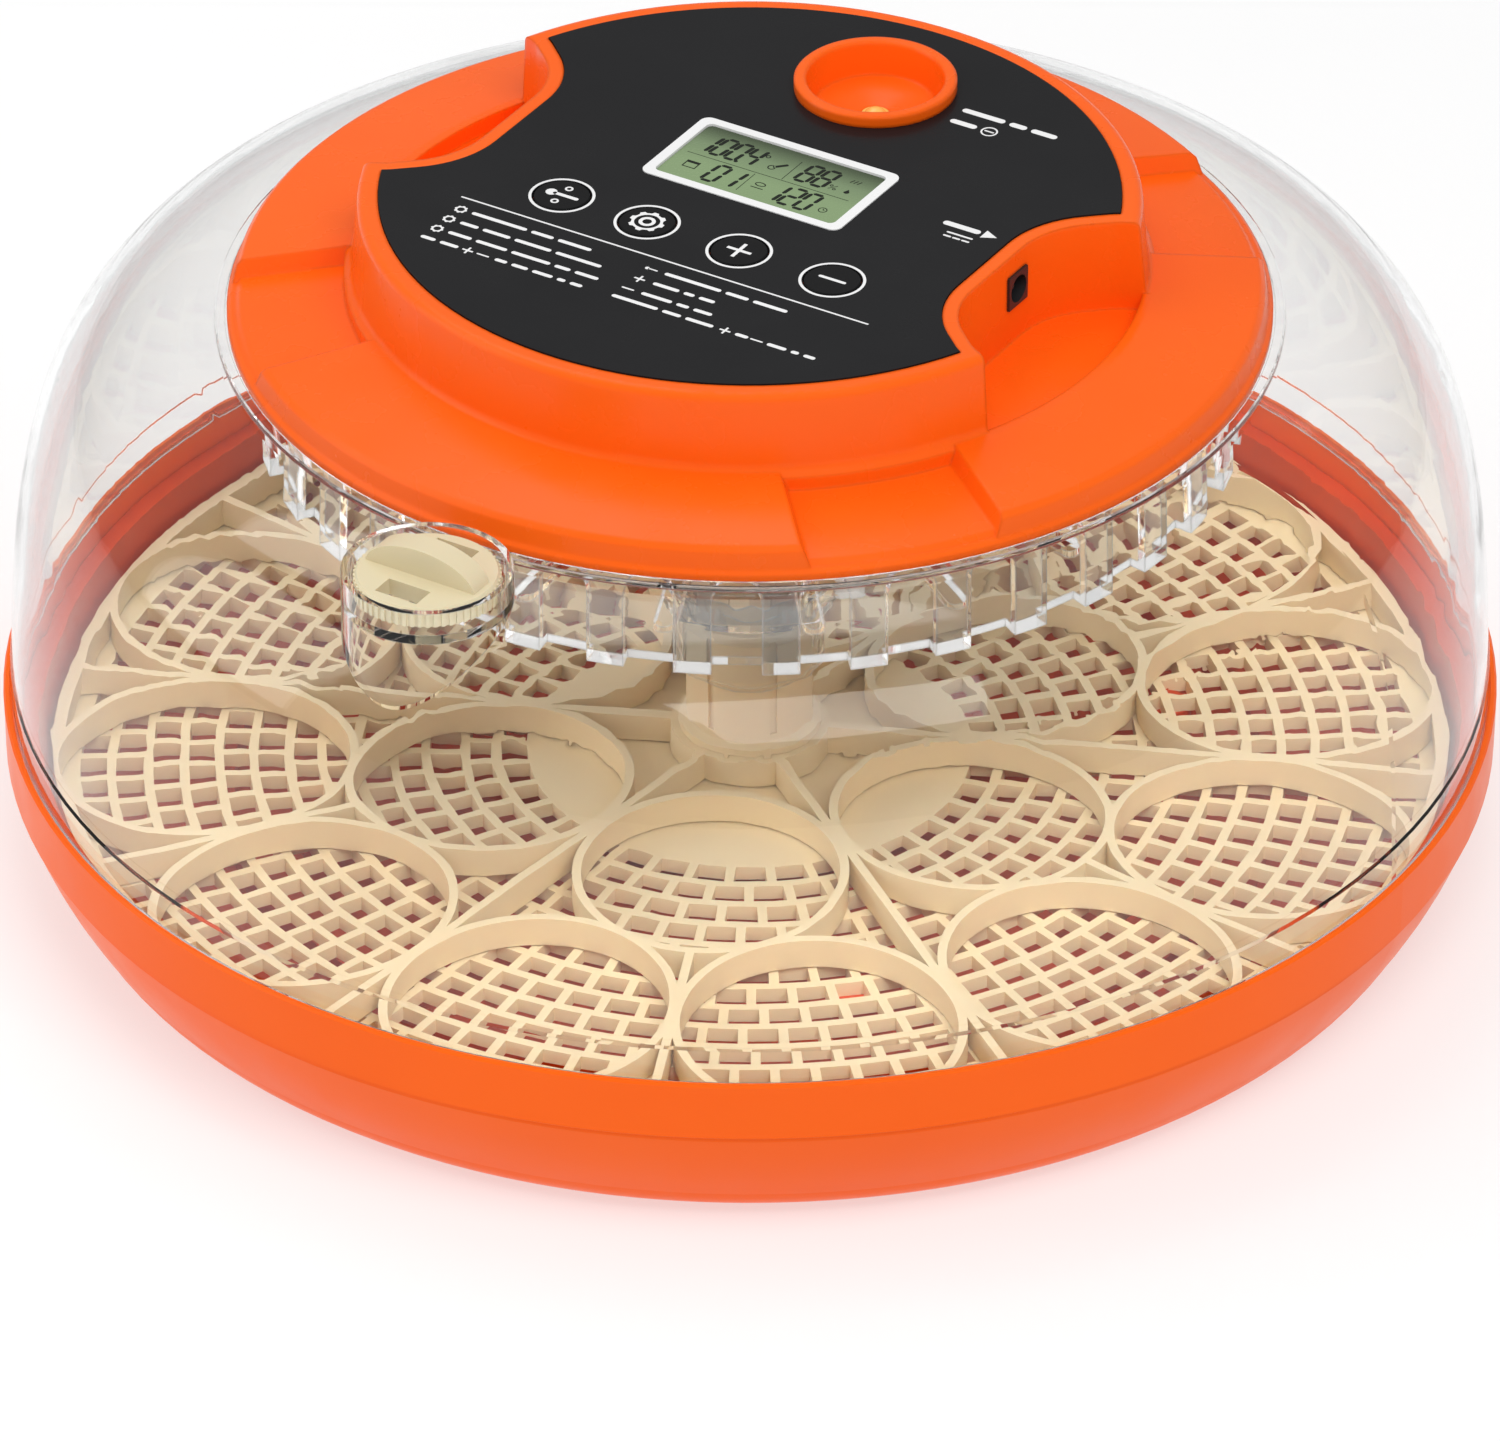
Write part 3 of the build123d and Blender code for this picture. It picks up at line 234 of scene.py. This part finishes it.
def lcd_material():
    """Reflective green LCD, darker where the window's upper edge shades it."""
    mat, tree, shader = material("lcd_green")
    low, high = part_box("display_glass")
    coords = add_node(tree, "ShaderNodeTexCoord")
    split = add_node(tree, "ShaderNodeSeparateXYZ")
    tree.links.new(coords.outputs["Object"], split.inputs["Vector"])
    shade = remap(tree, split.outputs["Y"], 0.0, 1.0, low.y + 0.35 * (high.y - low.y), high.y)
    grain = noise(tree, 1500.0, 2.0)
    mixer = add_node(tree, "ShaderNodeMath", operation="MULTIPLY_ADD")
    tree.links.new(grain.outputs["Fac"], mixer.inputs[0])
    mixer.inputs[1].default_value = 0.06
    tree.links.new(shade, mixer.inputs[2])
    ramp = add_node(tree, "ShaderNodeValToRGB")
    ramp.color_ramp.elements[0].color = (0.235, 0.330, 0.170, 1)
    ramp.color_ramp.elements[1].color = (0.060, 0.082, 0.045, 1)
    middle = ramp.color_ramp.elements.new(0.55)
    middle.color = (0.185, 0.255, 0.140, 1)
    tree.links.new(mixer.outputs["Value"], ramp.inputs["Fac"])
    tree.links.new(ramp.outputs["Color"], shader.inputs["Base Color"])
    tree.links.new(remap(tree, grain.outputs["Fac"], 0.22, 0.30), shader.inputs["Roughness"])
    shader.inputs["Specular IOR Level"].default_value = 0.15
    return mat


lcd = lcd_material()

LOOK = {
    "base_shell": orange_base, "water_pan": orange_pan, "lattice_floor": cream,
    "rubber_feet": rubber, "base_screws": steel, "pivot_pin": steel, "egg_divider": cream,
    "divider_hub": cream,
    "dome": clear, "head_cover": orange, "head_plate": white, "control_panel": overlay,
    "display_bezel": white, "display_glass": lcd, "display_backlight": grey,
    "display_board": board, "button_switches": black, "candler_cup": orange,
    "candler_led": lens, "power_socket": black, "socket_pin": nickel, "air_guard": guard_clear,
    "head_screws": steel, "turning_motor": zinc, "motor_screws": steel, "fan_motor": zinc,
    "heater_ring": steel, "heater_posts": ceramic, "climate_sensor": white,
    "main_board": board, "board_parts": black, "buzzer": black, "vent_screw": steel,
    "drive_shaft": cream, "fan_impeller": white, "vent_knob": ivory, "button_temp": key_black,
    "button_set": key_black, "button_plus": key_black, "button_minus": key_black,
}
for node_name, mat in LOOK.items():
    mesh = nodes[node_name].data
    mesh.materials.clear()
    mesh.materials.append(mat)


# ---- printed marks ------------------------------------------------------------------------
INK = 0.00004            # a printed mark's thickness, in metres
FIGURE_INK = 0.00002     # a display figure's thickness, in metres


def oval(x, y, half_wide, half_tall, steps):
    """Closed outline of an ellipse."""
    return [(x + half_wide * math.cos(2 * math.pi * k / steps),
             y + half_tall * math.sin(2 * math.pi * k / steps)) for k in range(steps)]


def circle(x, y, radius, steps=48):
    """Closed outline of a circle."""
    return oval(x, y, radius, radius, steps)


def rectangle(x0, y0, x1, y1):
    """Closed outline of an upright rectangle."""
    return [(x0, y0), (x1, y0), (x1, y1), (x0, y1)]


def stroke(x0, y0, x1, y1, width):
    """Closed outline of a round-ended stroke between two points."""
    along = math.atan2(y1 - y0, x1 - x0)
    outline = []
    for x, y, start in ((x1, y1, along - math.pi / 2), (x0, y0, along + math.pi / 2)):
        outline += [(x + width / 2 * math.cos(start + math.pi * k / 8),
                     y + width / 2 * math.sin(start + math.pi * k / 8)) for k in range(9)]
    return outline


def ring(x, y, outer, inner):
    """Two outlines that leave a ring between them."""
    return [circle(x, y, outer), circle(x, y, inner)]


GEAR_TEETH = 8


def gear(x, y, radius, bore=0.56):
    """Toothed wheel outline with a round hole inside it; bore is the hole's part of the radius."""
    outline = []
    for k in range(GEAR_TEETH):
        middle = 2 * math.pi * k / GEAR_TEETH
        for turn, reach in ((-0.24, 0.86), (-0.13, 1.0), (0.13, 1.0), (0.24, 0.86)):
            outline.append((x + radius * reach * math.cos(middle + turn),
                            y + radius * reach * math.sin(middle + turn)))
    return [outline, circle(x, y, radius * bore)]


def printed(name, outlines, z, body, mat, thickness=INK):
    """A thin flat piece from closed outlines in millimetres, its underside at z; an outline
    inside another is a hole."""
    curve = bpy.data.curves.new(name, "CURVE")
    curve.dimensions = "2D"
    curve.fill_mode = "BOTH"
    curve.extrude = thickness / 2
    for outline in outlines:
        spline = curve.splines.new("POLY")
        spline.points.add(len(outline) - 1)
        for point, (x, y) in zip(spline.points, outline):
            point.co = (x * MM, y * MM, 0, 1)
        spline.use_cyclic_u = True
    holder = bpy.data.objects.new(name + "_curve", curve)
    bpy.context.scene.collection.objects.link(holder)
    bpy.context.view_layer.update()
    mesh = bpy.data.meshes.new_from_object(holder)
    bpy.data.objects.remove(holder)
    mesh.materials.clear()
    mesh.materials.append(mat)
    piece = bpy.data.objects.new(name, mesh)
    bpy.context.scene.collection.objects.link(piece)
    piece.location = (0, 0, z + thickness / 2)
    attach(piece, body)


WORD_GAP = 1.1           # millimetres between two dashes


def word_line(x, y, length, words, height=0.98):
    """A row of plain dashes, uneven as words are, standing for a printed line."""
    weights = [2.0 + (5 * k + words) % 4 for k in range(words)]
    unit = (length - WORD_GAP * (words - 1)) / sum(weights)
    outlines = []
    for weight in weights:
        outlines.append(stroke(x + height / 2, y, x + unit * weight - height / 2, y, height))
        x += unit * weight + WORD_GAP
    return outlines


def thermometer(x, y, size):
    """Sideways thermometer: bulb and stem."""
    return [circle(x - 0.62 * size, y, 0.30 * size),
            stroke(x - 0.4 * size, y, x + 0.85 * size, y, 0.24 * size)]


def plus(x, y, reach, width):
    """Plus sign as one outline."""
    h = width / 2
    corners = [(h, h), (h, reach), (-h, reach), (-h, h), (-reach, h), (-reach, -h),
               (-h, -h), (-h, -reach), (h, -reach), (h, -h), (reach, -h), (reach, h)]
    return [[(x + u, y + v) for u, v in corners]]


KEY_RING = (6.6, 6.02)    # outer and inner radius
SIGN_REACH, SIGN_WIDTH = 2.7, 0.75    # bars of the plus and minus signs


def key_rings(top, keys):
    """White ring round each key, on the panel, and its sign on the key's own face."""
    signs = {
        "button_temp": lambda x, y: thermometer(x, y, 3.9) + ring(x, y + 2.7, 0.85, 0.45)
        + ring(x, y - 2.7, 0.85, 0.45),
        "button_set": lambda x, y: gear(x, y, 3.7, bore=0.70) + ring(x, y, 1.7, 0.95),
        "button_plus": lambda x, y: plus(x, y, SIGN_REACH, SIGN_WIDTH),
        "button_minus": lambda x, y: [stroke(x - SIGN_REACH, y, x + SIGN_REACH, y, SIGN_WIDTH)],
    }
    outlines = []
    for key, body in keys.items():
        low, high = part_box(key)
        x, y = (low.x + high.x) / 2 / MM, (low.y + high.y) / 2 / MM
        outlines += ring(x, y, *KEY_RING)
        printed(key + "_sign", signs[key](x, y), high.z, body, print_white)
    printed("key_rings", outlines, top, "lid", print_white)


KEYS = {"button_temp": "temp_key", "button_set": "set_key", "button_plus": "plus_key",
        "button_minus": "minus_key"}
panel_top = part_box("control_panel")[1].z
key_rings(panel_top, KEYS)


RULE = 0.42              # width of the dividing line and of the small signs' bars
LEFT_FOOT, RIGHT_FOOT = -48.3, -47.9    # height of the last printed line, left and right
LABEL = 1.5              # height of the dashes beside the candler and the inlet


def panel_notes(top):
    """Dividing line, two blocks of printed lines, and the marks by the candler and the inlet."""
    outlines = [stroke(-46.9, -31.5, 45.9, -31.5, RULE)]
    rows = (-35.7, -40.0, -44.3)
    for y, length, words in zip(rows, (27.5, 32.5, 34.5), (3, 4, 5)):
        outlines += gear(-44.5, y, 1.35) + word_line(-41.9, y, length, words)
    for y, length, words in zip(rows, (27.8, 14.0, 16.0), (3, 3, 3)):
        outlines += word_line(2.5, y, length, words)
    outlines += thermometer(-0.6, rows[0], 1.5)
    outlines += plus(-0.6, rows[1], 1.2, RULE)
    outlines.append(stroke(-1.8, rows[2], 0.6, rows[2], RULE))
    outlines += word_line(-45.7, LEFT_FOOT, 8.6, 2) + plus(-34.9, LEFT_FOOT, 1.2, RULE)
    outlines.append(stroke(-32.6, LEFT_FOOT, -30.2, LEFT_FOOT, RULE))
    outlines += word_line(-28.6, LEFT_FOOT, 20.0, 5)
    outlines += word_line(-2.0, RIGHT_FOOT, 23.0, 3) + plus(23.7, RIGHT_FOOT, 1.2, RULE)
    outlines += word_line(26.0, RIGHT_FOOT, 2.9, 1)
    outlines.append(stroke(29.6, RIGHT_FOOT, 32.0, RIGHT_FOOT, RULE))
    outlines += word_line(33.2, RIGHT_FOOT, 10.8, 3)
    # by the candler
    outlines += word_line(19.4, 49.2, 21.6, 3, LABEL) + word_line(19.4, 44.4, 6.0, 1, LABEL)
    outlines += ring(28.3, 44.4, 1.75, 1.4)
    outlines.append(stroke(27.4, 44.4, 29.2, 44.4, 0.4))
    # by the power inlet: arrow head and the sign for direct current
    outlines.append([(47.6, 8.1), (47.6, 11.1), (50.6, 9.6)])
    outlines += word_line(38.5, 9.6, 8.4, 1, LABEL)
    outlines.append(stroke(41.2, 6.7, 46.6, 6.7, 0.5))
    for k in range(3):
        outlines.append(stroke(41.2 + 2.05 * k, 5.3, 42.5 + 2.05 * k, 5.3, 0.5))
    printed("panel_notes", outlines, top, "lid", print_white)


panel_notes(panel_top)

# ---- display segments ---------------------------------------------------------------------
LEAN = 0.14              # how far a figure leans to the right, for each unit of height
HAIRLINE = 0.14          # width of the display's dividing lines
FIGURE_TALL, FIGURE_THICK = 6.6, 0.82
LIT = {"0": "abcdef", "1": "bc", "2": "abged", "4": "fgbc", "8": "abcdefg"}


def digit(x, y, wide, tall, thick, figure):
    """Seven-segment figure with its lower left corner at x, y, leaning a little to the right."""
    ends = {"a": ((0, 2), (1, 2)), "b": ((1, 2), (1, 1)), "c": ((1, 1), (1, 0)),
            "d": ((0, 0), (1, 0)), "e": ((0, 1), (0, 0)), "f": ((0, 2), (0, 1)),
            "g": ((0, 1), (1, 1))}
    outlines = []
    for name in LIT[figure]:
        (u0, v0), (u1, v1) = ends[name]
        level = v0 == v1
        trim = 0.62 * thick
        tip, half = thick * 0.45, thick / 2
        bar = []
        for side in (0, 1):
            u, v = (u0, v0) if side == 0 else (u1, v1)
            inward = (1 if side == 0 else -1) * trim
            px, py = u * wide, v * tall / 2
            if level:
                bar.append([(px + inward, py - half),
                            (px + inward - math.copysign(tip, inward), py),
                            (px + inward, py + half)])
            else:
                step = -inward
                bar.append([(px + half, py + step), (px, py + step + math.copysign(tip, inward)),
                            (px - half, py + step)])
        outline = bar[0] + bar[1][::-1]
        outlines.append([(x + u + LEAN * v, y + v) for u, v in outline])
    return outlines


def figures(x, y, text, wide, tall, thick, pitch):
    """A row of seven-segment figures; a full stop takes no room."""
    outlines = []
    for mark in text:
        if mark == ".":
            outlines.append(circle(x - (pitch - wide) / 2, y, 0.55 * thick, 12))
            continue
        outlines += digit(x, y, wide, tall, thick, mark)
        x += pitch
    return outlines


def display_marks():
    """Figures, dividing lines and small signs on the display."""
    low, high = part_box("display_glass")
    left, bottom = low.x / MM, low.y / MM
    wide, tall = (high.x - low.x) / MM, (high.y - low.y) / MM

    def at(u, v):
        return left + u * wide, bottom + (1 - v) * tall

    outlines = figures(*at(0.045, 0.45), "100.4", 2.5, FIGURE_TALL, FIGURE_THICK, 3.45)
    outlines += figures(*at(0.61, 0.45), "88", 2.7, FIGURE_TALL, FIGURE_THICK, 3.75)
    outlines += figures(*at(0.225, 0.90), "01", 2.7, FIGURE_TALL, FIGURE_THICK, 3.75)
    outlines += figures(*at(0.565, 0.90), "120", 2.6, FIGURE_TALL, FIGURE_THICK, 3.6)
    (x0, y0), (x1, y1) = at(0.04, 0.53), at(0.945, 0.53)
    outlines.append(stroke(x0, y0, x1, y1, HAIRLINE))
    for u, top, foot in ((0.565, 0.14, 0.51), (0.43, 0.56, 0.90)):
        (x0, y0), (x1, y1) = at(u, top), at(u, foot)
        outlines.append(stroke(x0, y0, x1, y1, HAIRLINE))
    x, y = at(0.40, 0.22)
    outlines += ring(x, y, 0.55, 0.32)
    # thermometer, lying at a slant
    x, y = at(0.487, 0.33)
    outlines += ring(x - 0.9, y - 0.9, 0.85, 0.60)
    outlines += [stroke(x - 0.45, y - 0.45, x + 1.3, y + 1.3, 0.75)]
    # percent sign
    x, y = at(0.815, 0.39)
    outlines += ring(x - 0.55, y + 0.5, 0.38, 0.20) + ring(x + 0.55, y - 0.5, 0.38, 0.20)
    outlines.append(stroke(x - 0.65, y - 0.8, x + 0.65, y + 0.8, 0.16))
    # rising steam and a drop
    x, y = at(0.885, 0.20)
    for k in range(3):
        outlines.append(stroke(x - 0.9 + 0.8 * k, y - 0.5, x - 0.5 + 0.8 * k, y + 0.5, 0.24))
    x, y = at(0.895, 0.40)
    outlines.append([(x, y + 1.0)] + circle(x, y, 0.62, 16)[9:16] + circle(x, y, 0.62, 16)[:1])
    # calendar leaf beside the day count
    x, y = at(0.12, 0.72)
    outlines += [rectangle(x - 1.5, y - 1.3, x + 1.5, y + 1.3),
                 rectangle(x - 1.25, y - 1.05, x + 1.25, y + 0.5)]
    # turning egg beside the interval
    x, y = at(0.505, 0.70)
    outlines += [oval(x, y, 1.2, 0.75, 24), oval(x, y, 0.95, 0.5, 24)]
    outlines.append(stroke(x - 1.3, y - 1.5, x + 1.3, y - 1.5, 0.24))
    # clock face beside the minutes
    x, y = at(0.885, 0.80)
    outlines += ring(x, y, 0.95, 0.75)
    outlines += [stroke(x, y, x, y + 0.5, 0.16), stroke(x, y, x + 0.38, y, 0.16)]
    printed("display_marks", outlines, high.z, "lid", segment,
            FIGURE_INK)


display_marks()


# ---- stage, light and camera --------------------------------------------------------------
FLOOR_GLOW = 0.55
WORLD_STRENGTH = 0.46
AIM = (0, 0, 0.06)       # what the lamps point at
SENSOR_MM, LENS_MM = 36.0, 299.6
CAMERA_TURN = 31.5       # degrees from -Y towards +X
CAMERA_REACH, CAMERA_HEIGHT, CAMERA_AIM_Z = 2.11595, 1.39016, 0.0261


def build_stage():
    """Pale floor and even white surroundings."""
    floor_mat, tree, shader = material("floor")
    speck = noise(tree, 3.0, 2.0)
    tree.links.new(vary_colour(tree, speck.outputs["Fac"], (0.44, 0.44, 0.44), (0.46, 0.46, 0.46)),
                   shader.inputs["Base Color"])
    shader.inputs["Emission Color"].default_value = (1, 1, 1, 1)
    shader.inputs["Emission Strength"].default_value = FLOOR_GLOW
    shader.inputs["Roughness"].default_value = 0.6
    shader.inputs["Specular IOR Level"].default_value = 0.1
    bpy.ops.mesh.primitive_plane_add(size=12, location=(0, 0, 0))
    floor = bpy.context.object
    floor.name = "floor"
    floor.data.materials.append(floor_mat)
    world = bpy.data.worlds.new("studio")
    bpy.context.scene.world = world
    world.use_nodes = True
    background = world.node_tree.nodes["Background"]
    background.inputs["Color"].default_value = (1, 1, 1, 1)
    background.inputs["Strength"].default_value = WORLD_STRENGTH


def area_light(name, azimuth, elevation, distance, width, height, power, mirrored=True):
    """Soft rectangular lamp at an azimuth (0 is +Y) and elevation, aimed at the object; one that
    isn't mirrored leaves no bright patch in the clear dome."""
    data = bpy.data.lights.new(name, "AREA")
    data.shape = "RECTANGLE"
    data.size, data.size_y = width, height
    data.energy = power
    lamp = bpy.data.objects.new(name, data)
    bpy.context.scene.collection.objects.link(lamp)
    a, e = math.radians(azimuth), math.radians(elevation)
    place = Vector((math.sin(a) * math.cos(e), math.cos(a) * math.cos(e), math.sin(e))) * distance
    lamp.location = place + Vector(AIM)
    lamp.rotation_euler = (Vector(AIM) - lamp.location).to_track_quat("-Z", "Y").to_euler()
    lamp.visible_glossy = mirrored


def build_camera():
    """Long lens from the front right, about 33 degrees above the table."""
    data = bpy.data.cameras.new("camera")
    data.sensor_width = SENSOR_MM
    data.lens = LENS_MM
    data.clip_end = 50.0
    cam = bpy.data.objects.new("camera", data)
    bpy.context.scene.collection.objects.link(cam)
    turn = math.radians(CAMERA_TURN)
    cam.location = (CAMERA_REACH * math.sin(turn), -CAMERA_REACH * math.cos(turn), CAMERA_HEIGHT)
    direction = Vector((0, 0, CAMERA_AIM_Z)) - cam.location
    cam.rotation_euler = direction.to_track_quat("-Z", "Y").to_euler()
    bpy.context.scene.camera = cam


build_stage()
build_camera()
area_light("key", 130, 55, 1.6, 1.0, 0.8, 13, mirrored=False)
area_light("left_fill", 235, 25, 1.5, 0.9, 1.2, 5)
area_light("back_top", 300, 62, 1.6, 1.2, 0.8, 5)
bpy.context.scene.view_settings.view_transform = "Standard"
